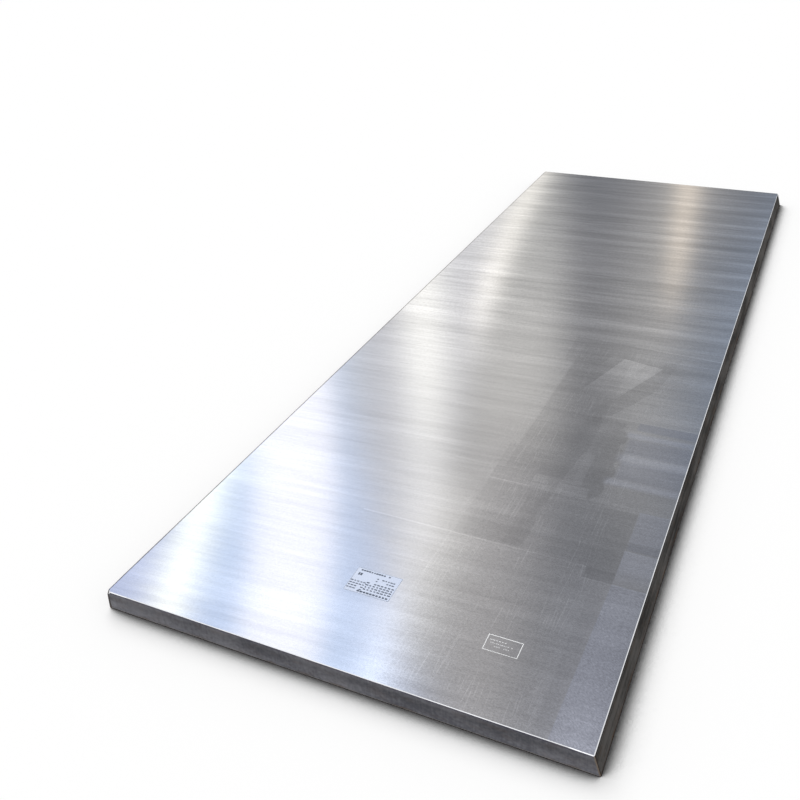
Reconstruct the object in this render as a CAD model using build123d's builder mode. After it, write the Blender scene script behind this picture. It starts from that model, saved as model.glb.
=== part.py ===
"""Ground steel plate: one flat piece of rolled stock, cut square across both ends, with its long sides as rolled.

The width lies along X, the length along Y with the front end at -Y, and the thickness along Z.
The origin is the middle of the underside, so the plate lies on the plane Z = 0 with its ground face up.
"""

import os

from build123d import *

# Stock size, in millimetres: the width is that of the ground face
ground_width = 1219.0
plate_length = 3658.0
plate_thickness = 55.0

# The rolled long sides aren't square: each leans out by this much from the ground face to the underside
left_side_lean = 4.0
right_side_lean = 17.0

# Edge breaks: the bright bevel round the ground face, the smaller one underneath, and the upright corners
top_edge_break = 1.5
bottom_edge_break = 1.5
corner_edge_break = 2.0

# Facet knocked off the front left corner of the ground face, measured along the three edges that met there
knock_along_front = 14.0
knock_along_side = 10.0
knock_depth = 13.0

# Places across the section, with the underside centred on X = 0
underside_width = left_side_lean + ground_width + right_side_lean
underside_right = underside_width / 2
underside_left = -underside_right
ground_right = underside_right - right_side_lean
ground_left = underside_left + left_side_lean

with BuildPart() as plate:
    # The section across the rolling direction, with its lower edges broken, drawn out along the length
    with BuildSketch(Plane.XZ):
        with BuildLine():
            Polyline(
                (underside_left + bottom_edge_break, 0),
                (underside_right - bottom_edge_break, 0),
                (underside_right, bottom_edge_break),
                (ground_right, plate_thickness),
                (ground_left, plate_thickness),
                (underside_left, bottom_edge_break),
                close=True,
            )
        make_face()
    extrude(amount=plate_length / 2, both=True)

    # The uprights of the cut ends are the edges that climb most of the thickness
    uprights = plate.edges().filter_by(lambda edge: edge.bounding_box().size.Z > plate_thickness / 2)
    chamfer(uprights, length=corner_edge_break)
    chamfer(plate.faces().sort_by(Axis.Z)[-1].edges(), length=top_edge_break)
    chamfer(plate.faces().sort_by(Axis.Z)[0].edges().filter_by(Axis.X), length=bottom_edge_break)

    # The knocked facet's plane runs through one point on each of the corner's three edges, and faces outwards
    sharp_corner = Vector(ground_left, -plate_length / 2, plate_thickness)
    on_front = sharp_corner + Vector(knock_along_front, 0, 0)
    on_side = sharp_corner + Vector(0, knock_along_side, 0)
    on_upright = sharp_corner - Vector(0, 0, knock_depth)
    outwards = (on_side - on_front).cross(on_upright - on_front)
    split(bisect_by=Plane(on_front, x_dir=on_side - on_front, z_dir=outwards), keep=Keep.BOTTOM)

plate.part.label = "plate"

os.makedirs("parts", exist_ok=True)
export_step(plate.part, "parts/plate.step")
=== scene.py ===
# %% [markdown]
# # A ground steel plate
#
# The object is one thick piece of rolled steel, lying flat. Its upper face was ground bright across the
# width, its edges were broken with a grinder, and its sides kept the dark skin of the rolling mill. A
# small label and a white printed box sit near the front end.
#
# The solid comes from the CAD model, so this lesson is about finish: how a plain slab is made to read as
# ground steel by its grain, its patches, its edges and the light that it mirrors.

import math

import bmesh
import bpy
from mathutils import Matrix, Quaternion, Vector, noise


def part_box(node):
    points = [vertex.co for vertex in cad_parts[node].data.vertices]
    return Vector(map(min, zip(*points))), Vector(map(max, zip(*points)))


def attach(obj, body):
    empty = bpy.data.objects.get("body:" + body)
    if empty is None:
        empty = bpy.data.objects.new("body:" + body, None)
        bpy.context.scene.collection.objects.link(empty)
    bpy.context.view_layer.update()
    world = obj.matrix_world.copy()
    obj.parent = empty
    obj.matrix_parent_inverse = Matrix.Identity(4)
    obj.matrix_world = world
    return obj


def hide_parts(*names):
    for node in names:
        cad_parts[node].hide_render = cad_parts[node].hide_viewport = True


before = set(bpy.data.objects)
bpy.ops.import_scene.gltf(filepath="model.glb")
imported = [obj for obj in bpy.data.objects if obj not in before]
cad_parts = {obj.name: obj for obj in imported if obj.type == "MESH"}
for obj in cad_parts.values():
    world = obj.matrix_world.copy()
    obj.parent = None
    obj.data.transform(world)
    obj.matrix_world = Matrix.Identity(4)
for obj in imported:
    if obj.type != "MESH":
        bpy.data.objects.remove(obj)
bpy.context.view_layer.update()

scene = bpy.context.scene
plate_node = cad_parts["plate"]
plate_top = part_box("plate")[1].z
SAME_PLACE = 1e-5

ground_points = [v.co.copy() for v in plate_node.data.vertices if v.co.z > plate_top - SAME_PLACE]
ground_left = min(p.x for p in ground_points)
ground_right = max(p.x for p in ground_points)
ground_front = min(p.y for p in ground_points)
ground_back = max(p.y for p in ground_points)
ground_width = ground_right - ground_left
ground_length = ground_back - ground_front
print(f"ground face {ground_width:.3f} x {ground_length:.3f} m, {plate_top:.3f} m above the floor")

# %% [markdown]
# ## The camera
#
# The photo looks down along the plate from standing height, near the front right corner. An eye, a point
# to aim at, a lens and a slight roll describe that view. `to_track_quat` turns the aim into a rotation,
# and the roll is one more turn about the line of sight.

# %% Stand the camera near the front right corner
EYE = Vector((0.800, -3.037, 1.583))
AIM = Vector((-0.367, -0.644, 0.0))
LENS_MM = 41.0
ROLL_DEGREES = -2.34

camera = bpy.data.objects.new("camera", bpy.data.cameras.new("camera"))
scene.collection.objects.link(camera)
camera.data.lens = LENS_MM
camera.location = EYE
camera.rotation_mode = "QUATERNION"
line_of_sight = (AIM - EYE).to_track_quat("-Z", "Y")
camera.rotation_quaternion = line_of_sight @ Quaternion((0, 0, 1), math.radians(ROLL_DEGREES))
scene.camera = camera
scene.view_settings.view_transform = "Standard"
print(f"camera {(AIM - EYE).length:.2f} m from its aim, lens {LENS_MM} mm")

# %% [markdown]
# ## Small helpers for node trees
#
# Every material, the studio and the printed marks are node trees. A few helpers keep them short: `add`
# makes a node, `feed` plugs a socket in or types a number into it, and `calc` is one Math node. `vary` is
# how a pattern reaches a colour or a gloss, and `ease` is a soft step from 0 to 1, the shape that most
# masks are made of.

# %% Define the node helpers
def add(tree, kind, **settings):
    made = tree.nodes.new(kind)
    for key, value in settings.items():
        setattr(made, key, value)
    return made


def feed(tree, socket, value):
    if isinstance(value, bpy.types.NodeSocket):
        tree.links.new(value, socket)
    else:
        socket.default_value = value


def calc(tree, operation, *values):
    made = add(tree, "ShaderNodeMath", operation=operation)
    for socket, value in zip(made.inputs, values):
        feed(tree, socket, value)
    return made.outputs[0]


def product(tree, first, *others):
    for other in others:
        first = calc(tree, "MULTIPLY", first, other)
    return first


def vary(tree, value, amount, base=1.0):
    """A base, moved up and down by a pattern's value times an amount."""
    return calc(tree, "MULTIPLY_ADD", value, amount, base)


def ease(tree, value, start, end):
    made = add(tree, "ShaderNodeMapRange", interpolation_type="SMOOTHSTEP")
    feed(tree, made.inputs["Value"], value)
    feed(tree, made.inputs["From Min"], start)
    feed(tree, made.inputs["From Max"], end)
    return made.outputs["Result"]


print("node helpers ready")

# %% Define the colour helpers
def mix_colours(tree, blend, amount, first, second):
    made = add(tree, "ShaderNodeMix", data_type="RGBA", blend_type=blend)
    feed(tree, made.inputs["Factor"], amount)
    feed(tree, made.inputs[6], first)
    feed(tree, made.inputs[7], second)
    return made.outputs[2]


def brighten(tree, colour, factor):
    made = add(tree, "ShaderNodeVectorMath", operation="SCALE")
    feed(tree, made.inputs[0], colour if isinstance(colour, bpy.types.NodeSocket) else colour[:3])
    feed(tree, made.inputs["Scale"], factor)
    return made.outputs[0]


print("colour helpers ready")

# %% Define the group helpers
SOCKET_KINDS = {float: "NodeSocketFloat", tuple: "NodeSocketColor"}


def new_group(name, inputs, outputs):
    """A shader node group. inputs maps each socket's name to its default, outputs maps it to its kind."""
    group = bpy.data.node_groups.new(name, "ShaderNodeTree")
    for label, default in inputs.items():
        kind = SOCKET_KINDS[type(default)]
        group.interface.new_socket(name=label, in_out="INPUT", socket_type=kind).default_value = default
    for label, kind in outputs.items():
        group.interface.new_socket(name=label, in_out="OUTPUT", socket_type=SOCKET_KINDS[kind])
    return group, add(group, "NodeGroupInput").outputs, add(group, "NodeGroupOutput").inputs


def place_group(tree, group, **values):
    """Places a group in a tree. A value's name is the socket's name, small, with underscores for spaces."""
    made = add(tree, "ShaderNodeGroup", node_tree=group)
    for label, value in values.items():
        feed(tree, made.inputs[label.replace("_", " ").title()], value)
    return made.outputs


print("group helpers ready")

# %% [markdown]
# ## The studio
#
# Bright metal has almost no colour of its own: it shows the room. So the room is built first. It is a
# white tent. Behind the plate a grey flag hangs in it, because a ground face that mirrored only white
# would look like paper. In front of the flag stand tall strip lights. The other end of the tent has the
# same, turned half round, lower and dimmer, and over it a brighter panel, which the bevel of the front
# end mirrors. Paler flags hang at the two sides.
#
# Grinding left fine scratches across the width. They smear every reflection into a streak that runs up
# the picture, and where a streak lies depends only on how far left or right a light stands. So each strip
# is given by its `across` direction, and the tent is worked out from the direction of the ray, in the
# world's own nodes. Lamps of the same shape would do too, but as near things they would shift along such
# a long plate. Only mirrored rays see the tent. Matte light is an even white fill, and the camera sees
# white paper.

# %% Build the strip light group
STRIP_MIDDLE = 0.5
strip_group, given, result = new_group(
    "strip_light",
    {"Across": 0.0, "Up": 0.0, "Centre": 0.0, "Width": 0.03, "Lean": 0.0, "Bend": 0.0, "Flatness": 1.0,
     "Full": 1.0, "Gone": 1.1, "Tint": (1, 1, 1, 1)},
    {"Light": tuple},
)
from_middle = calc(strip_group, "SUBTRACT", given["Up"], STRIP_MIDDLE)
leaning = vary(strip_group, from_middle, given["Lean"], given["Centre"])
bent = vary(strip_group, product(strip_group, from_middle, from_middle), given["Bend"], leaning)
ratio = calc(strip_group, "DIVIDE", calc(strip_group, "SUBTRACT", given["Across"], bent), given["Width"])
steep = calc(strip_group, "POWER", product(strip_group, ratio, ratio), given["Flatness"])
bell = calc(strip_group, "EXPONENT", product(strip_group, steep, -1.0))
fade = ease(strip_group, given["Up"], given["Gone"], given["Full"])
feed(strip_group, result["Light"], brighten(strip_group, given["Tint"], product(strip_group, bell, fade)))
print("strip light group ready")

# %% List the strips
STRIPS = {
    "blue side": dict(
        centre=-0.0485, width=0.0614, lean=-0.134, bend=0.71, full=0.41, gone=0.69,
        tint=(0.139, 0.185, 0.255, 1),
    ),
    "warm wash": dict(
        centre=-0.132, width=0.0482, lean=0.072, bend=0.27, full=0.46, gone=0.75,
        tint=(0.322, 0.297, 0.257, 1),
    ),
    "low warm strip": dict(
        centre=-0.114, width=0.013, lean=0.037, bend=-0.19, full=0.395, gone=0.412,
        tint=(0.60, 0.48, 0.342, 1),
    ),
    "near wash": dict(centre=-0.143, width=0.048, full=0.79, gone=0.61, tint=(0.327, 0.320, 0.343, 1)),
    "inner bank": dict(
        centre=-0.2655, width=0.0538, lean=0.124, bend=-0.29, flatness=2.0, full=0.51, gone=0.587,
        tint=(0.383, 0.367, 0.323, 1),
    ),
    "near bank": dict(
        centre=-0.266, width=0.0632, lean=-0.118, bend=0.47, full=0.61, gone=0.24,
        tint=(0.371, 0.335, 0.299, 1),
    ),
    "inner strip": dict(
        centre=-0.3265, width=0.0125, lean=-0.178, bend=0.195, full=0.434, gone=0.443,
        tint=(1.03, 0.96, 0.84, 1),
    ),
    "grey bank": dict(
        centre=-0.5365, width=0.2228, lean=-0.097, bend=-0.295, flatness=8.0,
        tint=(0.639, 0.619, 0.634, 1),
    ),
    "middle strip": dict(
        centre=-0.3555, width=0.0271, lean=0.16, bend=-0.43, full=0.457, gone=0.655,
        tint=(0.84, 0.808, 0.667, 1),
    ),
    "near strip": dict(
        centre=-0.310, width=0.0356, lean=-0.0885, bend=-0.30, full=0.586, gone=0.576,
        tint=(0.643, 0.617, 0.558, 1),
    ),
    "front strip": dict(centre=-0.360, width=0.013, full=0.75, gone=0.65, tint=(0.55, 0.60, 0.70, 1)),
    "blue bank": dict(
        centre=-0.6125, width=0.1774, lean=0.3455, bend=0.636, flatness=6.0,
        tint=(0.007, 0.111, 0.402, 1),
    ),
    "sky bank": dict(
        centre=-0.511, width=0.0835, lean=0.224, bend=0.482, flatness=2.0,
        tint=(0.065, 0.175, 0.212, 1),
    ),
    "white strip": dict(
        centre=-0.487, width=0.0399, lean=0.241, bend=-0.388, flatness=3.0,
        tint=(0.802, 0.603, 0.372, 1),
    ),
    "far strip": dict(centre=-0.5455, width=0.0181, lean=-0.112, bend=0.026, tint=(1.237, 1.115, 0.586, 1)),
}
print(f"{len(STRIPS)} strips listed")

# %% Put up the tent
studio = bpy.data.worlds.new("studio")
scene.world = studio
studio.use_nodes = True
tent = studio.node_tree
tent.nodes.clear()
direction = add(tent, "ShaderNodeSeparateXYZ")
feed(tent, direction.inputs[0], add(tent, "ShaderNodeTexCoord").outputs["Generated"])
across, back, up = direction.outputs
print("tent worked out from the ray's direction")

# %% Hang the flags and the strips
WHITE = (1.0, 1.0, 1.0, 1.0)
FLAG_COLOUR = (0.226, 0.235, 0.259, 1.0)
FLAG_LEFT, FLAG_RIGHT, FLAG_SOFT = -0.80, 0.20, 0.08
TURN_START, TURN_END = -0.05, 0.15
FRONT_FLAG_TOP = (0.66, 0.52)
FRONT_DIMMING = 0.65
PANEL_BACK = (-0.40, -0.60)
PANEL_UP = (0.42, 0.54)
PANEL_GAIN = 0.85
SIDE_FLAG_COLOUR = (0.62, 0.64, 0.68, 1.0)
SIDE_FLAG_STARTS = (0.78, 0.92)
SIDE_FLAG_TOP = (0.85, 0.60)
SIDE_FLAG_RUN = (-0.35, 0.30)
SIDE_FLAG_DIM, SIDE_FLAG_GAIN = 0.45, 0.65

turned = product(tent, across, calc(tent, "SIGN", back))
behind = ease(tent, back, TURN_START, TURN_END)
before = product(tent, ease(tent, back, -TURN_START, -TURN_END), ease(tent, up, *FRONT_FLAG_TOP))
left_end = ease(tent, turned, FLAG_LEFT - FLAG_SOFT, FLAG_LEFT + FLAG_SOFT)
right_end = ease(tent, turned, FLAG_RIGHT + FLAG_SOFT, FLAG_RIGHT - FLAG_SOFT)
flagged = product(tent, calc(tent, "MAXIMUM", behind, before), left_end, right_end)
wall = mix_colours(tent, "MIX", flagged, WHITE, FLAG_COLOUR)
over_front = product(tent, ease(tent, back, *PANEL_BACK), ease(tent, up, *PANEL_UP))
wall = brighten(tent, wall, vary(tent, over_front, PANEL_GAIN))
lit = product(tent, flagged, vary(tent, before, -FRONT_DIMMING))
for strip in STRIPS.values():
    light = place_group(tent, strip_group, across=turned, up=up, **strip)["Light"]
    wall = mix_colours(tent, "ADD", lit, wall, light)
beside = ease(tent, calc(tent, "ABSOLUTE", across), *SIDE_FLAG_STARTS)
beside = product(tent, beside, ease(tent, up, *SIDE_FLAG_TOP))
falling_off = vary(tent, ease(tent, back, *SIDE_FLAG_RUN), SIDE_FLAG_GAIN, SIDE_FLAG_DIM)
wall = mix_colours(tent, "MIX", beside, wall, brighten(tent, SIDE_FLAG_COLOUR, falling_off))
print(f"tent with {len(STRIPS)} strips")

# %% Show the tent to the metal and white paper to the camera
FILL_LEVEL = 0.55

backgrounds = {}
for label, colour, level in (("fill", WHITE, FILL_LEVEL), ("tent", wall, 1.0), ("paper", WHITE, 1.0)):
    backgrounds[label] = add(tent, "ShaderNodeBackground")
    feed(tent, backgrounds[label].inputs["Color"], colour)
    feed(tent, backgrounds[label].inputs["Strength"], level)
rays = add(tent, "ShaderNodeLightPath").outputs
mirrored = add(tent, "ShaderNodeMixShader")
feed(tent, mirrored.inputs[0], rays["Is Glossy Ray"])
feed(tent, mirrored.inputs[1], backgrounds["fill"].outputs[0])
feed(tent, mirrored.inputs[2], backgrounds["tent"].outputs[0])
seen = add(tent, "ShaderNodeMixShader")
feed(tent, seen.inputs[0], calc(tent, "MAXIMUM", rays["Is Camera Ray"], rays["Is Transmission Ray"]))
feed(tent, seen.inputs[1], mirrored.outputs[0])
feed(tent, seen.inputs[2], backgrounds["paper"].outputs[0])
feed(tent, add(tent, "ShaderNodeOutputWorld").inputs["Surface"], seen.outputs[0])
print(f"world with {list(backgrounds)} backgrounds")

# %% [markdown]
# ## Key light and floor
#
# One large soft lamp from the back left throws the shadow that the photo shows: out to the right and a
# little to the front. Fill and key together make a level of 1, at which a colour renders as it is
# written.
#
# The floor is pale paper. Lamps alone leave it a little under white, so the rays that the camera sees
# directly or in the metal get the missing part as glow. Close to the plate both are held back by an
# Ambient Occlusion node, a painted contact shadow in the paper, which gives the tight dark line where
# steel meets paper. Its normal leans to the left, where the key lamp stands, so the painted shadow is
# darkest on the side away from the lamp.

# %% Light the plate
KEY_TOWARDS = Vector((0.50, -0.42, -0.75))
KEY_SPREAD_DEGREES = 50.0
KEY_LEVEL = 1.0 - FILL_LEVEL

key = bpy.data.objects.new("key_lamp", bpy.data.lights.new("key_lamp", "SUN"))
scene.collection.objects.link(key)
key.rotation_euler = KEY_TOWARDS.to_track_quat("-Z", "Y").to_euler()
key.data.angle = math.radians(KEY_SPREAD_DEGREES)
key.data.energy = KEY_LEVEL * math.pi / -KEY_TOWARDS.normalized().z
key.visible_glossy = False
print(f"key lamp {key.data.energy:.2f} W/m2")

# %% Mix the floor paper
FLOOR_TONE = 0.80
CONTACT_REACH = 0.30
CONTACT_FACING = Vector((-0.52, 0.14, 0.82))
CONTACT_CLOSED = 0.43
CONTACT_OPEN = 0.73
CONTACT_SAMPLES = 16

paper = bpy.data.materials.new("floor_paper")
paper.use_nodes = True
tree = paper.node_tree
tree.nodes.clear()
contact = add(tree, "ShaderNodeAmbientOcclusion", samples=CONTACT_SAMPLES)
feed(tree, contact.inputs["Distance"], CONTACT_REACH)
facing = add(tree, "ShaderNodeCombineXYZ")
for socket, part in zip(facing.inputs, CONTACT_FACING.normalized()):
    feed(tree, socket, part)
feed(tree, contact.inputs["Normal"], facing.outputs[0])
rays = add(tree, "ShaderNodeLightPath").outputs
# For camera rays the occlusion darkens the paper's colour and glow near the plate: a painted contact shadow.
open_sky = ease(tree, contact.outputs["AO"], CONTACT_CLOSED, CONTACT_OPEN)
open_sky = calc(tree, "MAXIMUM", open_sky, calc(tree, "SUBTRACT", 1.0, rays["Is Camera Ray"]))
matte = add(tree, "ShaderNodeBsdfDiffuse")
feed(tree, matte.inputs["Color"], calc(tree, "MULTIPLY", open_sky, FLOOR_TONE))
glow = add(tree, "ShaderNodeEmission")
direct = calc(tree, "MAXIMUM", rays["Is Camera Ray"], rays["Is Glossy Ray"])
direct = calc(tree, "MAXIMUM", direct, rays["Is Transmission Ray"])
feed(tree, glow.inputs["Strength"], product(tree, direct, open_sky, 1 - FLOOR_TONE))
both = add(tree, "ShaderNodeAddShader")
feed(tree, both.inputs[0], matte.outputs[0])
feed(tree, both.inputs[1], glow.outputs[0])
feed(tree, add(tree, "ShaderNodeOutputMaterial").inputs["Surface"], both.outputs[0])
print(f"floor paper from {len(tree.nodes)} nodes")

# %% Lay the floor
FLOOR_SIZE = 120.0
FLOOR_GAP = 0.0004

half = FLOOR_SIZE / 2
corners = [(x, y, -FLOOR_GAP) for x, y in ((-half, -half), (half, -half), (half, half), (-half, half))]
floor_mesh = bpy.data.meshes.new("floor")
floor_mesh.from_pydata(corners, [], [(0, 1, 2, 3)])
floor_mesh.materials.append(paper)
floor = bpy.data.objects.new("floor", floor_mesh)
scene.collection.objects.link(floor)
print(f"floor {FLOOR_SIZE:.0f} m wide")

# %% [markdown]
# ## The plate with hand-broken edges
#
# On the real plate a grinder was run by hand along each edge of the ground face, so the bright bevel is
# a little wider here and narrower there, with a nick now and then. The CAD solid has the true bevel, but
# an even one.
#
# A copy of its mesh is merged and its flat faces are joined. Both rims of each bevel then get a point
# every few centimetres. A point of the upper rim moves in over the ground face, and one of the lower rim
# slides up or down in the plane of the side, so the plate never leaves its CAD size. A Bevel modifier
# would be simpler, and too even.

# %% Copy the solid and divide the rims of its bevels
MERGE_DISTANCE = 1e-6
FLAT_ANGLE = math.radians(0.5)
RIM_STEP = 0.025
BEVEL_FACING = (0.45, 0.95)

shape = bmesh.new()
shape.from_mesh(plate_node.data)
bmesh.ops.remove_doubles(shape, verts=shape.verts, dist=MERGE_DISTANCE)
bmesh.ops.dissolve_limit(shape, angle_limit=FLAT_ANGLE, verts=shape.verts, edges=shape.edges)
joined_faces = len(shape.faces)


def is_bevel(face):
    return BEVEL_FACING[0] < face.normal.z < BEVEL_FACING[1]


rims = []
for face in filter(is_bevel, shape.faces):
    longest = max(edge.calc_length() for edge in face.edges)
    if longest > ground_width / 2:
        rims.append([edge for edge in face.edges if edge.calc_length() > longest / 2])
for pair in rims:
    cuts = round(pair[0].calc_length() / RIM_STEP)
    bmesh.ops.subdivide_edges(shape, edges=pair, cuts=cuts, use_grid_fill=True)
shape.normal_update()
print(f"{joined_faces} flat faces, {len(rims)} long bevels, {len(shape.verts)} points")

# %% Let the grinder wander along the rims
RIM_RISE = 0.0007
WANDER = 0.0003
WANDER_RATE = 14.0
NICK = 0.0024
NICK_RATE = 3.1
NICK_STARTS = 0.50
CORNER_CLEAR = 0.04
UPPER_RIM, LOWER_RIM, NICKS = 1, 2, 7


def wander(place, rim_seed):
    """How far the grinder bit into the steel at this place of a rim, in metres."""
    drift = noise.noise(place * WANDER_RATE + Vector((0, 0, rim_seed)))
    chance = noise.noise(place * NICK_RATE + Vector((0, 0, rim_seed + NICKS)))
    return WANDER * (0.5 + 0.5 * drift) + NICK * max(0.0, chance - NICK_STARTS)


moves = {}
for vert in shape.verts:
    bevels = [face for face in vert.link_faces if is_bevel(face)]
    sides = [face for face in vert.link_faces if abs(face.normal.z) < BEVEL_FACING[0]]
    from_ends = min(vert.co.y - ground_front, ground_back - vert.co.y)
    from_sides = min(vert.co.x - ground_left, ground_right - vert.co.x)
    if not bevels or max(from_ends, from_sides) < CORNER_CLEAR:
        continue
    outwards = bevels[0].normal.copy()
    outwards.z = 0
    if vert.co.z > plate_top - SAME_PLACE:
        moves[vert] = -outwards.normalized() * wander(vert.co, UPPER_RIM)
    elif sides:
        down = Vector((0, 0, -1)) + sides[0].normal * sides[0].normal.z
        moves[vert] = down.normalized() * (wander(vert.co, LOWER_RIM) - RIM_RISE)
for vert, move in moves.items():
    vert.co += move
shape.normal_update()
print(f"moved {len(moves)} points by up to {max(m.length for m in moves.values()) * 1000:.2f} mm")

# %% [markdown]
# ## Faces for five finishes, and a map of the grain
#
# Five finishes meet on this one piece: the ground face, the bright bevels, the cut ends, the rolled sides
# and the worn upright corners. The direction that a face looks in tells which is which. The underside
# takes the rolled finish.
#
# A brushed reflection needs to know which way the scratches run. A UV map called `grain` says so: its
# first direction runs along the plate, square to the grinding lines, because light is smeared across the
# scratches.

# %% Sort the faces by finish and lay out the grain
FINISHES = ["ground_steel", "bright_bevel", "cut_end", "rolled_side", "worn_edge"]
LEVEL_FACING = 0.95
END_FACING = 0.85
CORNER_FACING = 0.3

grain = shape.loops.layers.uv.new("grain")
for face in shape.faces:
    if face.normal.z > LEVEL_FACING:
        finish = "ground_steel"
    elif is_bevel(face):
        finish = "bright_bevel"
    elif min(abs(face.normal.x), abs(face.normal.y)) > CORNER_FACING:
        finish = "worn_edge"
    elif abs(face.normal.y) > END_FACING:
        finish = "cut_end"
    else:
        finish = "rolled_side"
    face.material_index = FINISHES.index(finish)
    face.smooth = False
    for loop in face.loops:
        x, y, z = loop.vert.co
        loop[grain].uv = (x, z) if finish == "cut_end" else (y, z - x)
finish_counts = [sum(face.material_index == i for face in shape.faces) for i in range(len(FINISHES))]

plate_mesh = bpy.data.meshes.new("ground_plate")
shape.to_mesh(plate_mesh)
shape.free()
ground_plate = bpy.data.objects.new("ground_plate", plate_mesh)
scene.collection.objects.link(ground_plate)
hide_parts("plate")
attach(ground_plate, "root")
print(dict(zip(FINISHES, finish_counts)))

# %% [markdown]
# ## Grinding bands and patches as node groups
#
# The ground face is never even. The grinding head left bands across the width, each a little lighter or
# darker and a little tilted, and fine lines inside them. Noise that is drawn out in one direction gives
# both: `streaks` scales the two directions of a plate differently before it asks the Noise Texture.
#
# The front right part was ground again by hand, in overlapping rectangles. One group, `ground_patch`,
# makes a mask for a four-sided patch whose sides may lean, with edges as ragged as scratches leave them.

# %% Build the streaks helper
def streaks(tree, across, along, rates, layer, detail=2.0, roughness=0.5):
    """Noise about 0, drawn out into streaks. rates are features per metre each way, layer is its slice."""
    place = add(tree, "ShaderNodeCombineXYZ")
    feed(tree, place.inputs[0], calc(tree, "MULTIPLY", across, rates[0]))
    feed(tree, place.inputs[1], calc(tree, "MULTIPLY", along, rates[1]))
    feed(tree, place.inputs[2], layer)
    made = add(tree, "ShaderNodeTexNoise")
    feed(tree, made.inputs["Vector"], place.outputs[0])
    feed(tree, made.inputs["Scale"], 1.0)
    feed(tree, made.inputs["Detail"], detail)
    feed(tree, made.inputs["Roughness"], roughness)
    return calc(tree, "SUBTRACT", made.outputs["Fac"], 0.5)


print("streaks helper ready")

# %% Build the grinding band group
BAND_SLOPE = 0.05
PASS_PITCH = 0.121
PASS_UNEVENNESS = 4.0
# A squared crest has this mean, which is taken off so that the passes leave the face as light as it was
CREST_MEAN = 0.375

band_group, given, result = new_group(
    "grinding_bands",
    {"Across": 0.0, "Along": 0.0, "Slope": BAND_SLOPE, "Pitch": PASS_PITCH},
    {"Bands": float, "Passes": float, "Lines": float, "Tilt": float},
)
across = given["Across"]
sloped = calc(band_group, "SUBTRACT", given["Along"], product(band_group, across, given["Slope"]))
for label, pattern in {
    "Bands": dict(rates=(1.1, 9.0), layer=0.3, detail=4.0, roughness=0.6),
    "Lines": dict(rates=(3.0, 60.0), layer=2.6, detail=5.0, roughness=0.7),
    "Tilt": dict(rates=(1.1, 34.0), layer=5.1, detail=5.0, roughness=0.65),
}.items():
    feed(band_group, result[label], streaks(band_group, across, sloped, **pattern))

drift = streaks(band_group, across, sloped, rates=(0.9, 2.2), layer=3.7)
turns = calc(band_group, "ADD", calc(band_group, "DIVIDE", sloped, given["Pitch"]), drift)
wave = calc(band_group, "SINE", product(band_group, turns, 2 * math.pi))
crest = vary(band_group, wave, 0.5, 0.5)
narrow_crest = calc(band_group, "SUBTRACT", product(band_group, crest, crest), CREST_MEAN)
uneven = streaks(band_group, across, sloped, rates=(4.0, 9.0), layer=6.4, detail=3.0)
uneven = vary(band_group, uneven, PASS_UNEVENNESS)
feed(band_group, result["Passes"], product(band_group, narrow_crest, uneven))
print("grinding band group ready")

# %% Build the ground patch group
SCALLOP_RATE = 32.0
CRISP = 0.0015
patch_group, given, result = new_group(
    "ground_patch",
    {"Across": 0.0, "Along": 0.0, "Ragged": 0.0, "Left": 0.0, "Right": 1.0, "Front": 0.0, "Back": 1.0,
     "Left Lean": 0.0, "Right Lean": 0.0, "Skew": 0.0, "Bulge": 0.0, "Scallop": 0.0,
     "Softness": CRISP, "Left Softness": CRISP, "Front Softness": CRISP},
    {"Mask": float},
)
height = calc(patch_group, "SUBTRACT", given["Along"], given["Front"])
lobes = calc(patch_group, "ABSOLUTE", calc(patch_group, "SINE", product(patch_group, height, SCALLOP_RATE)))
to_back = calc(patch_group, "SUBTRACT", given["Back"], given["Along"])
depth = calc(patch_group, "SUBTRACT", given["Back"], given["Front"])
# The arch is a parabola, 0 at the front and the back of the patch and 1 halfway
arch = product(patch_group, 4.0, height, to_back)
arch = calc(patch_group, "DIVIDE", arch, product(patch_group, depth, depth))
across = calc(patch_group, "ADD", given["Across"], given["Ragged"])
skewed = vary(patch_group, given["Across"], given["Skew"], given["Ragged"])
along = calc(patch_group, "SUBTRACT", given["Along"], skewed)
left = vary(patch_group, height, given["Left Lean"], given["Left"])
right = vary(patch_group, height, given["Right Lean"], given["Right"])
right = vary(patch_group, lobes, given["Scallop"], right)
right = vary(patch_group, arch, given["Bulge"], right)
edges = []
for value, limit, softness in (
    (across, left, given["Left Softness"]),
    (along, given["Front"], given["Front Softness"]),
    (right, across, given["Softness"]),
    (given["Back"], along, given["Softness"]),
):
    inside = calc(patch_group, "SUBTRACT", value, limit)
    edges.append(ease(patch_group, inside, product(patch_group, softness, -1.0), softness))
feed(patch_group, result["Mask"], product(patch_group, *edges))
print("ground patch group ready")

# %% [markdown]
# ## The ground steel
#
# The patches are listed in metres from the front left corner of the ground face, each with the tone
# that it gives the steel. Tones multiply, so where two patches overlap, both show, as two passes of a
# grinder do. Bands, hairlines and grain are multiplied over them in the same way.
#
# Such a long plate is never quite flat. Its normal is tilted a little from band to band, which frays the
# mirrored strips into streaks, and bowed at both ends, which bends the streaks as the photo shows them.

# %% List the hand-ground patches
RIGHT_EDGE = 1.30
FRONT_EDGE = -0.10
COOL = (0.98, 1.00, 1.06)
# This warm cast is used only by the painted shade along the left edge.
WARM_CAST = (1.10, 0.98, 0.92)
WEDGE = dict(left_lean=0.314, right_lean=0.411, skew=-0.20)


def patch(tone, across, along, cast=(1, 1, 1), **shape):
    """One patch, mostly a pass of the hand grinder: its tone, its reach to the right and to the back, its
    cast and shape.
    """
    for side in ("left_softness", "front_softness"):
        shape.setdefault(side, shape.get("softness", CRISP))
    return {
        "colour": (*(tone * part for part in cast), 1),
        "outline": dict(left=across[0], right=across[1], front=along[0], back=along[1], **shape),
    }


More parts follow.
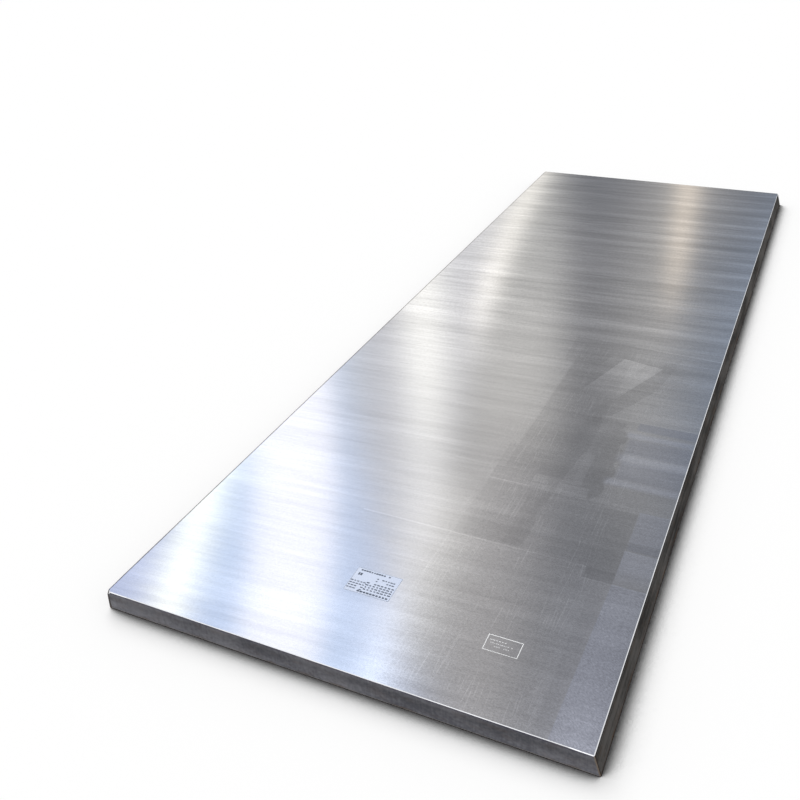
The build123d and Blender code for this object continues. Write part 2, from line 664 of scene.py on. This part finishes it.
PATCHES = {
    # The first patch is painted shade: a dark warm line along the left edge of the ground face.
    "painted shade along the left edge": patch(0.30, (-0.10, 0.0025), (FRONT_EDGE, 4.0), WARM_CAST, softness=0.001),
    "bright band": patch(1.10, (0.300, RIGHT_EDGE), (2.112, 2.140), skew=0.05, softness=0.012),
    "far part": patch(0.93, (0.706, RIGHT_EDGE), (0.870, 1.797), skew=-0.052),
    "far rim": patch(1.07, (0.710, RIGHT_EDGE), (1.790, 1.797), skew=-0.052),
    "right half of the far rim": patch(1.15, (0.920, RIGHT_EDGE), (1.790, 1.798), skew=-0.052),
    "light left margin": patch(1.09, (0.706, 0.729), (1.000, 1.560), right_lean=0.024, softness=0.006),
    "dark field": patch(0.945, (0.729, 0.930), (0.870, 1.690), left_lean=0.024),
    "light heart of the dark field": patch(1.03, (0.750, 0.890), (0.990, 1.360), softness=0.040),
    "near half of the light panel": patch(1.06, (0.944, RIGHT_EDGE), (1.246, 1.455), left_lean=0.490),
    "far half of the light panel": patch(1.06, (1.047, RIGHT_EDGE), (1.455, 1.603), left_lean=0.175),
    "rim of the light panel": patch(1.10, (0.920, RIGHT_EDGE), (1.243, 1.249)),
    "light behind the panel": patch(1.04, (1.080, RIGHT_EDGE), (1.610, 1.710), softness=0.020),
    "light wedge": patch(1.25, (0.883, 1.026), (1.580, 1.8205), front_softness=0.090, **WEDGE),
    "wedge corner": patch(1.10, (0.883, 1.026), (1.730, 1.8205), front_softness=0.050, **WEDGE),
    "fading end of the wedge": patch(0.94, (1.040, 1.120), (1.700, 1.830), skew=-0.20, softness=0.030),
    "near half of the diagonal strip": patch(
        0.95, (0.874, 0.946), (1.250, 1.455), left_lean=0.468, right_lean=0.490, front_softness=0.015
    ),
    "far half of the diagonal strip": patch(
        0.95, (0.970, 1.047), (1.455, 1.6425), left_lean=0.347, right_lean=0.175
    ),
    "tip of the diagonal strip": patch(
        0.95, (1.035, 1.080), (1.6425, 1.700), left_lean=0.870, right_lean=0.140
    ),
    "foot of the diagonal strip": patch(
        0.92, (0.868, 0.925), (1.160, 1.250), left_lean=0.35, softness=0.012
    ),
    "dark band": patch(0.89, (1.040, RIGHT_EDGE), (1.200, 1.243), COOL, softness=0.005),
    "light pass": patch(1.12, (1.020, RIGHT_EDGE), (1.152, 1.180), COOL, softness=0.009),
    "dark pass": patch(0.96, (1.030, RIGHT_EDGE), (1.064, 1.146), COOL, softness=0.010),
    "second light pass": patch(1.25, (1.020, RIGHT_EDGE), (1.020, 1.060), COOL, softness=0.016),
    "second dark pass": patch(0.98, (1.035, RIGHT_EDGE), (0.930, 1.020), COOL, softness=0.010),
    "third light pass": patch(1.25, (1.012, RIGHT_EDGE), (0.896, 0.926), COOL, softness=0.012),
    "scalloped pass": patch(
        0.87, (0.974, 0.993), (0.802, 1.225), bulge=0.022, scallop=0.018,
        softness=0.002, left_softness=0.022,
    ),
    "light start of the passes": patch(
        1.06, (0.974, 1.085), (0.802, 1.225), softness=0.040, left_softness=0.022, front_softness=0.002
    ),
    "light ground by the scallops": patch(1.07, (0.905, 0.948), (0.880, 1.170), softness=0.012),
    "light column": patch(1.09, (0.900, 0.958), (0.856, 1.030), left_lean=0.13),
    "narrow pass": patch(0.94, (0.706, 0.825), (0.808, 0.870)),
    "far rim of the narrow pass": patch(1.07, (0.580, 0.706), (0.863, 0.869)),
    "front rim of the narrow pass": patch(1.14, (0.706, 0.822), (0.803, 0.808)),
    "rim behind the middle pass": patch(1.09, (0.867, 0.990), (0.800, 0.805)),
    "end of the narrow pass": patch(1.07, (0.825, 0.865), (0.832, 0.872)),
    "band before the scallops": patch(1.13, (0.898, 0.985), (0.808, 0.853), softness=0.003),
    "left pass": patch(0.95, (0.695, 0.886), (0.537, 0.805), left_lean=0.03, right_lean=0.04),
    "left rim of the passes": patch(1.06, (0.688, 0.692), (0.300, 0.805), left_lean=0.03, right_lean=0.03),
    "foot of the left pass": patch(0.93, (0.720, 0.876), (0.545, 0.660), softness=0.018),
    "right side of the left pass": patch(
        0.94, (0.835, 0.886), (0.545, 0.790), right_lean=0.04, softness=0.004
    ),
    "foot of the middle pass": patch(0.95, (0.940, 1.134), (0.530, 0.680), softness=0.030),
    "right of the middle pass": patch(0.91, (1.040, 1.133), (0.537, 0.790), left_softness=0.050),
    "dark step": patch(0.835, (1.058, 1.133), (0.495, 0.537)),
    "light end of the passes": patch(1.05, (1.135, RIGHT_EDGE), (0.668, 0.800), COOL, softness=0.003),
    "dark lines": patch(0.90, (1.136, RIGHT_EDGE), (0.634, 0.668), COOL, softness=0.006),
    "right strip step": patch(1.18, (1.133, RIGHT_EDGE), (0.530, 0.630), COOL, front_softness=0.050),
    "rim of the front pass": patch(1.15, (0.440, 1.058), (0.534, 0.539)),
    "rim of the right strip": patch(1.13, (1.058, RIGHT_EDGE), (0.491, 0.496)),
    "dark strip": patch(0.92, (1.086, 1.120), (FRONT_EDGE, 0.440), right_lean=0.02, softness=0.005),
    "right strip": patch(1.05, (1.120, RIGHT_EDGE), (FRONT_EDGE, 0.495), COOL, left_lean=0.02),
    "far end of the right strip": patch(1.07, (1.130, RIGHT_EDGE), (0.400, 0.480), softness=0.030),
    "dull part of the right strip": patch(0.93, (1.125, RIGHT_EDGE), (0.090, 0.270), softness=0.060),
}
print(f"{len(PATCHES)} patches")

# %% Start the ground steel with its patches
GROUND_COLOUR = (0.56, 0.57, 0.59, 1.0)
PATCH_RAGGED = 0.002
RAGGED_RATE = 160.0


def new_material(name):
    made = bpy.data.materials.new(name)
    made.use_nodes = True
    return made, made.node_tree, made.node_tree.nodes["Principled BSDF"].inputs


def plate_places(tree):
    """Places on the plate, in metres: right of and behind the ground face's front left corner, and up."""
    corner = add(tree, "ShaderNodeMapping")
    corner.inputs["Location"].default_value = (-ground_left, -ground_front, 0)
    feed(tree, corner.inputs["Vector"], add(tree, "ShaderNodeTexCoord").outputs["Object"])
    parted = add(tree, "ShaderNodeSeparateXYZ")
    feed(tree, parted.inputs[0], corner.outputs[0])
    return parted.outputs


ground_steel, tree, sockets = new_material("ground_steel")
across, along, _ = plate_places(tree)
ragged = streaks(tree, across, along, rates=(RAGGED_RATE, RAGGED_RATE), layer=8.2)
places = dict(across=across, along=along, ragged=product(tree, ragged, PATCH_RAGGED))
colour = GROUND_COLOUR
masks = {}
for name, listed_patch in PATCHES.items():
    masks[name] = place_group(tree, patch_group, **places, **listed_patch["outline"])["Mask"]
    colour = mix_colours(tree, "MULTIPLY", masks[name], colour, listed_patch["colour"])
print(f"{len(masks)} patches laid")

# %% Lay the grinding bands over the patches
FAR_HALF = (1.0, 2.2)
BANDS_NEAR, BANDS_GAIN = 0.40, 0.40
LINES_NEAR, LINES_GAIN = 0.36, 0.40
PASSES_LEFT, PASSES_GAIN = 0.04, 0.16
PASSES_ACROSS = (0.1, 1.2)
PASSES_ALONG = (0.9, 2.3)

bands = place_group(tree, band_group, across=across, along=along)
far_half = ease(tree, along, *FAR_HALF)
tone = vary(tree, bands["Bands"], vary(tree, far_half, BANDS_GAIN, BANDS_NEAR))
fine_lines = vary(tree, bands["Lines"], vary(tree, far_half, LINES_GAIN, LINES_NEAR))
pass_strength = vary(tree, ease(tree, across, *PASSES_ACROSS), PASSES_GAIN, PASSES_LEFT)
pass_strength = product(tree, pass_strength, ease(tree, along, *PASSES_ALONG))
tone = product(tree, tone, fine_lines, vary(tree, bands["Passes"], pass_strength))
print("bands laid")

# %% Scratch the hand-ground part
HAND_GROUND_ACROSS = (0.60, 0.80)
HAND_GROUND_ALONG = (2.0, 1.5)
HAIRS_STOP = (1.13, 1.05)
HAIR_SLANT = 0.028
CROSSED_SLANT = 0.06
LONG_HAIR = (0.09, 0.22)
CROSSED_HAIR = (0.12, 0.22)
HAIR_ZONE = (-0.11, 0.10)
BUNCH_STRENGTH = 0.18
HAIR_STRENGTH = 0.06
SWIRL_STRENGTH = 0.70

hand_ground = product(tree, ease(tree, across, *HAND_GROUND_ACROSS), ease(tree, along, *HAND_GROUND_ALONG))
slanted = vary(tree, along, -HAIR_SLANT, across)
fine_hairs = streaks(tree, slanted, along, rates=(640.0, 7.0), layer=11.4, roughness=0.7)
long_hairs = streaks(tree, slanted, along, rates=(330.0, 5.0), layer=12.2, detail=1.0)
crossed = vary(tree, along, CROSSED_SLANT, across)
crossed_hairs = streaks(tree, crossed, along, rates=(260.0, 7.0), layer=14.9, detail=1.0)
hair_zones = streaks(tree, across, along, rates=(9.0, 5.0), layer=13.7)
bunches = calc(tree, "MAXIMUM", ease(tree, long_hairs, *LONG_HAIR), ease(tree, crossed_hairs, *CROSSED_HAIR))
bunches = product(tree, bunches, ease(tree, hair_zones, *HAIR_ZONE))
hairs = vary(tree, bunches, BUNCH_STRENGTH, product(tree, fine_hairs, HAIR_STRENGTH))
hairy = product(tree, hand_ground, ease(tree, across, *HAIRS_STOP))

rising = calc(tree, "ADD", across, along)
falling = calc(tree, "SUBTRACT", across, along)
swirl = streaks(tree, rising, falling, rates=(320.0, 70.0), layer=17.9, detail=4.0)
swirl = product(tree, swirl, masks["right strip"])
tone = product(tree, tone, vary(tree, hairs, hairy), vary(tree, swirl, SWIRL_STRENGTH))
print("hairlines and swirls scratched")

# %% Add the grain and the brushed gloss
GRAIN_PLAIN, GRAIN_HAND_GROUND = 0.24, 0.50
COARSE_NEAR, COARSE_GAIN = 0.08, 0.30
GROUND_ROUGHNESS = 0.118
BAND_ROUGHNESS = 0.05
BRUSHING = 0.62

fine_grain = streaks(tree, across, along, rates=(260.0, 420.0), layer=19.6)
fine_grain = vary(tree, fine_grain, vary(tree, hand_ground, GRAIN_HAND_GROUND, GRAIN_PLAIN))
coarse_grain = streaks(tree, across, along, rates=(130.0, 90.0), layer=37.2)
coarse_grain = vary(tree, coarse_grain, vary(tree, far_half, COARSE_GAIN, COARSE_NEAR))
tone = product(tree, tone, fine_grain, coarse_grain)

feed(tree, sockets["Base Color"], brighten(tree, colour, tone))
feed(tree, sockets["Roughness"], vary(tree, bands["Bands"], BAND_ROUGHNESS, GROUND_ROUGHNESS))
sockets["Metallic"].default_value = 1.0
sockets["Anisotropic"].default_value = BRUSHING
across_scratches = add(tree, "ShaderNodeTangent", direction_type="UV_MAP", uv_map="grain")
feed(tree, sockets["Tangent"], across_scratches.outputs[0])
print(f"brushed to {BRUSHING}, roughness {GROUND_ROUGHNESS}")

# %% Tilt the bands and bow the ends
TILT_NEAR, TILT_GAIN = 0.011, 0.011
FRONT_BOW = -0.0226
FRONT_BOW_RUN = (1.8, -0.6)
BACK_BOW = -0.0110
BACK_BOW_RUN = (2.2, 4.2)

bow = product(tree, ease(tree, along, *FRONT_BOW_RUN), FRONT_BOW)
bow = vary(tree, ease(tree, along, *BACK_BOW_RUN), BACK_BOW, bow)
tilted = add(tree, "ShaderNodeCombineXYZ")
feed(tree, tilted.inputs[0], vary(tree, bands["Tilt"], vary(tree, far_half, TILT_GAIN, TILT_NEAR), bow))
feed(tree, tilted.inputs[2], 1.0)
to_world = add(tree, "ShaderNodeVectorTransform", vector_type="NORMAL")
to_world.convert_from = "OBJECT"
to_world.convert_to = "WORLD"
feed(tree, to_world.inputs[0], tilted.outputs[0])
feed(tree, sockets["Normal"], to_world.outputs[0])
print(f"ground steel from {len(tree.nodes)} nodes")

# %% [markdown]
# ## Bevels and sides
#
# The bevels were ground last and are the brightest steel on the plate. The cut ends and the rolled sides
# are dark: a cloudy blue-grey skin with streaks, and a little rust where water sat, along the lower edge.
# A dark brown line where a skin's run starts is painted shade, and so is the dark brown of the left bevel.
# One group makes that skin. Each side finish gives it the direction that its streaks run in and its own
# colours.

# %% Build the mill skin group
# A dark brown for painted shade: along the left bevel and where a skin's run starts.
EDGE_SHADE_BROWN = (0.030, 0.020, 0.016, 1.0)
GREY = (0.1, 0.1, 0.1, 1.0)
CLOUD_SPREAD = 0.28
LIFT_RUN = (0.040, 0.0)
TOP_LIFT_RUN = (0.036, 0.050)
LINE_RUN = (plate_top - 0.007, plate_top - 0.003)
LINE_STRENGTH = 0.65
CORNER_RUN = (0.0050, 0.0030)
CORNER_STRENGTH = 0.85
LOW_EDGE = (0.009, 0.001)
RUST_SPOTS = (-0.02, 0.16)
RUST_PLAIN, RUST_LOW = 0.14, 0.5
RUB_AND_HIGHLIGHT_EDGE = (0.0035, 0.0015)

skin_group, given, result = new_group(
    "mill_skin",
    {"Run": 0.0, "Height": 0.0, "Dark": GREY, "Light": GREY, "Rust": GREY, "Rubbed": GREY, "Line": GREY,
     "Run Rate": 3.0, "Height Rate": 160.0, "Streaking": 0.5, "Mottle": 0.4, "Lift": 0.0, "Top Lift": 0.0},
    {"Colour": tuple, "Relief": float},
)
run = given["Run"]
height = given["Height"]
clouds = streaks(skin_group, run, height, rates=(7.0, 22.0), layer=21.3, detail=4.0)
lines = streaks(skin_group, run, height, (given["Run Rate"], given["Height Rate"]), layer=23.8, detail=3.0)
mottle = streaks(skin_group, run, height, rates=(110.0, 130.0), layer=25.2, detail=3.0)
relief = vary(skin_group, lines, given["Streaking"], clouds)
relief = vary(skin_group, mottle, given["Mottle"], relief)
feed(skin_group, result["Relief"], relief)

cloudy = ease(skin_group, relief, -CLOUD_SPREAD, CLOUD_SPREAD)
skin = mix_colours(skin_group, "MIX", cloudy, given["Dark"], given["Light"])
# Lift makes the skin lighter towards the bottom, and Top Lift makes it lighter again near the top.
lifted = vary(skin_group, ease(skin_group, height, *LIFT_RUN), given["Lift"])
lifted = vary(skin_group, ease(skin_group, height, *TOP_LIFT_RUN), given["Top Lift"], lifted)
skin = brighten(skin_group, skin, lifted)
# A thin dark line just under the bevel: partly a burr, partly painted shade.
burr_and_shade_line = product(skin_group, ease(skin_group, height, *LINE_RUN), LINE_STRENGTH)
skin = mix_colours(skin_group, "MIX", burr_and_shade_line, skin, given["Line"])
# Painted shade: a dark brown line where the run starts, set for the left upright of the cut end; the rolled
# sides get it at their front ends too.
painted_edge_shade = product(skin_group, ease(skin_group, run, *CORNER_RUN), CORNER_STRENGTH)
skin = mix_colours(skin_group, "MIX", painted_edge_shade, skin, EDGE_SHADE_BROWN)
spots = streaks(skin_group, run, height, rates=(18.0, 60.0), layer=26.1, detail=4.0)
rusty = vary(skin_group, ease(skin_group, height, *LOW_EDGE), RUST_LOW, RUST_PLAIN)
rusty = product(skin_group, rusty, ease(skin_group, spots, *RUST_SPOTS))
skin = mix_colours(skin_group, "MIX", rusty, skin, given["Rust"])
# Along the bottom edge the skin turns lighter: partly rubbed steel, partly a painted highlight of the lower
# chamfer.
rubbed = ease(skin_group, height, *RUB_AND_HIGHLIGHT_EDGE)
feed(skin_group, result["Colour"], mix_colours(skin_group, "MIX", rubbed, skin, given["Rubbed"]))
print("mill skin group ready")

# %% Mix the bright bevel and the worn edge
BEVEL_COLOUR = (0.80, 0.81, 0.83, 1.0)
BEVEL_STARTS = (0.0020, 0.0040)
BEVEL_RUB = 0.25
BEVEL_ROUGHNESS = 0.30
EDGE_COLOUR = (0.21, 0.165, 0.125, 1.0)
EDGE_RUB = 1.2
EDGE_LEFT, EDGE_GAIN = 0.15, 0.65
EDGE_ACROSS = (0.2, 0.6)
EDGE_ROUGHNESS = 0.50
EDGE_METAL = 0.3
RUB_GLOSS = 0.2

bright_bevel, tree, sockets = new_material("bright_bevel")
across, along, _ = plate_places(tree)
rub = streaks(tree, across, along, rates=(40.0, 40.0), layer=31.5, detail=3.0)
# Along the left edge the bevel is painted dark brown: painted shade.
bright = mix_colours(tree, "MIX", ease(tree, across, *BEVEL_STARTS), EDGE_SHADE_BROWN, BEVEL_COLOUR)
feed(tree, sockets["Base Color"], brighten(tree, bright, vary(tree, rub, BEVEL_RUB)))
feed(tree, sockets["Roughness"], vary(tree, rub, RUB_GLOSS, BEVEL_ROUGHNESS))
sockets["Metallic"].default_value = 1.0

worn_edge, tree, sockets = new_material("worn_edge")
across, along, height = plate_places(tree)
rub = streaks(tree, height, calc(tree, "ADD", across, along), rates=(90.0, 200.0), layer=33.1, detail=3.0)
bare = vary(tree, ease(tree, across, *EDGE_ACROSS), EDGE_GAIN, EDGE_LEFT)
bare = product(tree, bare, vary(tree, rub, EDGE_RUB))
feed(tree, sockets["Base Color"], brighten(tree, EDGE_COLOUR, bare))
feed(tree, sockets["Roughness"], vary(tree, rub, RUB_GLOSS, EDGE_ROUGHNESS))
sockets["Metallic"].default_value = EDGE_METAL
print("bevel and worn edge mixed")

# %% Mix the cut end and the rolled side
RUST = (0.125, 0.075, 0.045, 1.0)
RELIEF_GLOSS = -0.25
RELIEF_STRENGTH = 0.25
RELIEF_DEPTH = 0.0006


def mill_finish(name, along_the_side, roughness, metal, mirror, **pattern):
    """A dark side finish. metal is its share of bare steel, mirror its shine, pattern goes to the skin."""
    made, tree, sockets = new_material(name)
    across, along, height = plate_places(tree)
    run = along if along_the_side else across
    skin = place_group(tree, skin_group, run=run, height=height, rust=RUST, **pattern)
    feed(tree, sockets["Base Color"], skin["Colour"])
    feed(tree, sockets["Roughness"], vary(tree, skin["Relief"], RELIEF_GLOSS, roughness))
    bump = add(tree, "ShaderNodeBump")
    feed(tree, bump.inputs["Height"], skin["Relief"])
    bump.inputs["Strength"].default_value = RELIEF_STRENGTH
    bump.inputs["Distance"].default_value = RELIEF_DEPTH
    feed(tree, sockets["Normal"], bump.outputs[0])
    sockets["Metallic"].default_value = metal
    sockets["Specular IOR Level"].default_value = mirror
    return made


cut_end = mill_finish(
    "cut_end", along_the_side=False, roughness=0.50, metal=0.4, mirror=0.25,
    dark=(0.062, 0.063, 0.074, 1), light=(0.139, 0.139, 0.153, 1), rubbed=(0.36, 0.33, 0.30, 1),
    line=(0.060, 0.052, 0.092, 1), run_rate=260.0, height_rate=25.0, streaking=0.30, mottle=0.6,
    lift=0.95, top_lift=0.25,
)
rolled_side = mill_finish(
    "rolled_side", along_the_side=True, roughness=0.75, metal=0.0, mirror=0.02,
    dark=(0.030, 0.0285, 0.0275, 1), light=(0.105, 0.100, 0.096, 1), rubbed=(0.110, 0.070, 0.055, 1),
    line=(0.02, 0.02, 0.02, 1), run_rate=3.0, height_rate=170.0, streaking=0.7, mottle=0.3, lift=0.25,
)
for finish in (ground_steel, bright_bevel, cut_end, rolled_side, worn_edge):
    plate_mesh.materials.append(finish)
print([finish.name for finish in plate_mesh.materials])

# %% [markdown]
# ## The label and the printed box
#
# A thin film label, about as wide as a hand is long, sticks near the front end. To its right a white
# outlined box is printed on the steel. Both carry rows of small printed dashes.
#
# Two Geometry Nodes trees do the work. `outline` sweeps a flat bar round a rectangle. `print_rows` sets a
# bar on each point of a grid, with a random length and some left out, so that rows read as words. Both
# are closed bars with a thickness, as ink has, because a sheet without thickness would flicker in the
# face under it.

# %% Build the outline tree
def new_geometry_tree(name, inputs):
    """A Geometry Nodes tree with named inputs. Returns the tree, its inputs by name and its output."""
    made = bpy.data.node_groups.new(name, "GeometryNodeTree")
    made.is_modifier = True
    made.interface.new_socket(name="Geometry", in_out="OUTPUT", socket_type="NodeSocketGeometry")
    for label, kind in inputs.items():
        made.interface.new_socket(name=label, in_out="INPUT", socket_type=f"NodeSocket{kind}")
    return made, add(made, "NodeGroupInput").outputs, add(made, "NodeGroupOutput").inputs[0]


def finish_tree(tree, geometry, material, target):
    """Ends a tree the way every tree here ends: instances made real, then one material."""
    real = add(tree, "GeometryNodeRealizeInstances")
    feed(tree, real.inputs[0], geometry)
    coated = add(tree, "GeometryNodeSetMaterial")
    feed(tree, coated.inputs["Geometry"], real.outputs[0])
    feed(tree, coated.inputs["Material"], material)
    feed(tree, target, coated.outputs[0])


outline_tree, given, result = new_geometry_tree(
    "outline",
    {"Width": "Float", "Height": "Float", "Line": "Float", "Thickness": "Float", "Material": "Material"},
)
path = add(outline_tree, "GeometryNodeCurvePrimitiveQuadrilateral")
feed(outline_tree, path.inputs["Width"], given["Width"])
feed(outline_tree, path.inputs["Height"], given["Height"])
bar = add(outline_tree, "GeometryNodeCurvePrimitiveQuadrilateral")
feed(outline_tree, bar.inputs["Width"], given["Line"])
feed(outline_tree, bar.inputs["Height"], given["Thickness"])
swept = add(outline_tree, "GeometryNodeCurveToMesh")
feed(outline_tree, swept.inputs["Curve"], path.outputs[0])
feed(outline_tree, swept.inputs["Profile Curve"], bar.outputs[0])
finish_tree(outline_tree, swept.outputs[0], given["Material"], result)
print("outline tree ready")

# %% Build the printed rows tree
SHORTEST_MARK, LONGEST_MARK = 0.45, 0.92

rows_tree, given, result = new_geometry_tree(
    "print_rows",
    {"Width": "Float", "Height": "Float", "Rows": "Int", "Marks": "Int", "Mark Height": "Float",
     "Thickness": "Float", "Kept": "Float", "Seed": "Int", "Material": "Material"},
)
grid = add(rows_tree, "GeometryNodeMeshGrid")
grid_sources = {"Size X": "Width", "Size Y": "Height", "Vertices X": "Marks", "Vertices Y": "Rows"}
for label, source in grid_sources.items():
    feed(rows_tree, grid.inputs[label], given[source])
chance = add(rows_tree, "FunctionNodeRandomValue", data_type="BOOLEAN")
feed(rows_tree, chance.inputs["Probability"], given["Kept"])
feed(rows_tree, chance.inputs["Seed"], given["Seed"])
share = add(rows_tree, "FunctionNodeRandomValue", data_type="FLOAT")
feed(rows_tree, share.inputs[2], SHORTEST_MARK)
feed(rows_tree, share.inputs[3], LONGEST_MARK)
feed(rows_tree, share.inputs["Seed"], given["Seed"])
pitch = calc(rows_tree, "DIVIDE", given["Width"], calc(rows_tree, "SUBTRACT", given["Marks"], 1.0))
size = add(rows_tree, "ShaderNodeCombineXYZ")
feed(rows_tree, size.inputs[0], calc(rows_tree, "MULTIPLY", pitch, share.outputs[1]))
feed(rows_tree, size.inputs[1], given["Mark Height"])
feed(rows_tree, size.inputs[2], given["Thickness"])
mark = add(rows_tree, "GeometryNodeMeshCube")
marks = add(rows_tree, "GeometryNodeInstanceOnPoints")
feed(rows_tree, marks.inputs["Points"], grid.outputs["Mesh"])
feed(rows_tree, marks.inputs["Selection"], chance.outputs[3])
feed(rows_tree, marks.inputs["Instance"], mark.outputs["Mesh"])
feed(rows_tree, marks.inputs["Scale"], size.outputs[0])
finish_tree(rows_tree, marks.outputs[0], given["Material"], result)
print("printed rows tree ready")

# %% Mix the film, the ink and the white paint
def thin_coat(name, colour, rate, layer, wear, roughness, detail=2.0, dulling=0.0):
    """A film, an ink or a paint, worn in spots. rate is spots per metre, dulling their share in the gloss."""
    made, tree, sockets = new_material(name)
    across, along, _ = plate_places(tree)
    worn = streaks(tree, across, along, rates=(rate, rate), layer=layer, detail=detail)
    feed(tree, sockets["Base Color"], brighten(tree, colour, vary(tree, worn, wear)))
    feed(tree, sockets["Roughness"], vary(tree, worn, dulling, roughness) if dulling else roughness)
    return made


label_film = thin_coat(
    "label_film", (0.64, 0.71, 0.87, 1), rate=30.0, layer=41.2, wear=0.12, roughness=0.38,
    detail=3.0, dulling=0.2,
)
label_ink = thin_coat(
    "label_ink", (0.10, 0.12, 0.16, 1), rate=400.0, layer=43.9, wear=1.2, roughness=0.5
)
white_paint = thin_coat(
    "white_paint", (0.87, 0.88, 0.89, 1), rate=300.0, layer=45.3, wear=0.12, roughness=0.55
)
print("label finishes ready")

# %% Stick the film on
LABEL_MIDDLE = Vector((ground_left + 0.597, ground_front + 0.275, plate_top))
LABEL_WIDTH = 0.122
LABEL_LENGTH = 0.087
LABEL_THICKNESS = 0.00015
LABEL_CORNER = 0.002
INK_THICKNESS = 0.00006


def add_piece(name, mesh):
    made = bpy.data.objects.new(name, mesh)
    scene.collection.objects.link(made)
    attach(made, "root")
    return made


film = bmesh.new()
bmesh.ops.create_cube(film, size=1.0)
bmesh.ops.scale(film, vec=(LABEL_WIDTH, LABEL_LENGTH, LABEL_THICKNESS), verts=film.verts)
uprights = [e for e in film.edges if abs(e.verts[0].co.z - e.verts[1].co.z) > LABEL_THICKNESS / 2]
bmesh.ops.bevel(film, geom=uprights, offset=LABEL_CORNER, segments=4, affect="EDGES", profile=0.5)
bmesh.ops.translate(film, vec=LABEL_MIDDLE + Vector((0, 0, LABEL_THICKNESS / 2)), verts=film.verts)
film_mesh = bpy.data.meshes.new("label_film")
film.to_mesh(film_mesh)
film.free()
film_mesh.materials.append(label_film)
add_piece("label_film", film_mesh)
print(f"film {LABEL_WIDTH * 1000:.0f} x {LABEL_LENGTH * 1000:.0f} mm")

# %% Define how printed blocks grow
def grow(name, blocks, rest_height):
    """Evaluates blocks, each a Geometry Nodes tree, a middle and its inputs, and joins them to one piece."""
    joined = bmesh.new()
    for tree, middle, values in blocks:
        carrier = bpy.data.objects.new(name, bpy.data.meshes.new(name))
        scene.collection.objects.link(carrier)
        modifier = carrier.modifiers.new("nodes", "NODES")
        modifier.node_group = tree
        for socket in tree.interface.items_tree:
            if socket.in_out == "INPUT":
                modifier[socket.identifier] = values[socket.name]
        evaluated = carrier.evaluated_get(bpy.context.evaluated_depsgraph_get())
        grown = bpy.data.meshes.new_from_object(evaluated)
        grown.transform(Matrix.Translation((*middle, rest_height)))
        joined.from_mesh(grown)
        bpy.data.objects.remove(carrier)
    # A cube from a tree has an empty slot before its ink, so every face goes back to the first slot
    for face in joined.faces:
        face.material_index = 0
    mesh = bpy.data.meshes.new(name)
    joined.to_mesh(mesh)
    joined.free()
    mesh.materials.append(blocks[0][2]["Material"])
    return add_piece(name, mesh)


def rows(width, height, count, marks, mark_height, kept, seed, ink):
    """Inputs for a block: its size, its rows, the marks in a row, their height, the share kept, a seed."""
    return {"Width": width, "Height": height, "Rows": count, "Marks": marks, "Mark Height": mark_height,
            "Thickness": INK_THICKNESS, "Kept": kept, "Seed": seed, "Material": ink}


def frame_line(width, height, line, ink):
    """Inputs for an outline: the rectangle's size and the width of its line."""
    return {"Width": width, "Height": height, "Line": line, "Thickness": INK_THICKNESS, "Material": ink}


print("printed blocks ready")

# %% Print the label
LABEL_MARGIN = 0.002
LABEL_LINE = 0.0008
x, y, z = LABEL_MIDDLE
ink_height = z + LABEL_THICKNESS + INK_THICKNESS / 2
label_frame = frame_line(LABEL_WIDTH - LABEL_MARGIN, LABEL_LENGTH - LABEL_MARGIN, LABEL_LINE, label_ink)
label_print = grow("label_print", [
    (outline_tree, (x, y), label_frame),
    (rows_tree, (x - 0.006, y + 0.036), rows(0.096, 0.0, 1, 15, 0.0050, 0.93, 3, label_ink)),
    (rows_tree, (x - 0.046, y + 0.021), rows(0.006, 0.0, 1, 2, 0.0090, 1.0, 5, label_ink)),
    (rows_tree, (x + 0.026, y + 0.015), rows(0.044, 0.009, 2, 7, 0.0036, 0.85, 8, label_ink)),
    (rows_tree, (x + 0.020, y - 0.013), rows(0.066, 0.024, 4, 8, 0.0040, 0.93, 9, label_ink)),
    (rows_tree, (x - 0.0385, y - 0.018), rows(0.034, 0.026, 4, 5, 0.0034, 0.90, 11, label_ink)),
    (rows_tree, (x + 0.014, y - 0.036), rows(0.076, 0.0, 1, 10, 0.0056, 1.0, 14, label_ink)),
], ink_height)
print(f"label print has {len(label_print.data.polygons)} faces")

# %% Print the box
BOX_MIDDLE = (ground_left + 0.957, ground_front + 0.204)
BOX_WIDTH = 0.081
BOX_LENGTH = 0.048
BOX_LINE = 0.0028
x, y = BOX_MIDDLE
printed_box = grow("printed_box", [
    (outline_tree, (x, y), frame_line(BOX_WIDTH, BOX_LENGTH, BOX_LINE, white_paint)),
    (rows_tree, (x - 0.014, y + 0.010), rows(0.034, 0.0, 1, 6, 0.0017, 0.9, 21, white_paint)),
    (rows_tree, (x - 0.004, y + 0.001), rows(0.050, 0.0, 1, 12, 0.0013, 0.9, 22, white_paint)),
    (rows_tree, (x + 0.002, y - 0.008), rows(0.038, 0.0, 1, 8, 0.0013, 0.8, 23, white_paint)),
], plate_top + INK_THICKNESS / 2)
print(f"printed box has {len(printed_box.data.polygons)} faces")
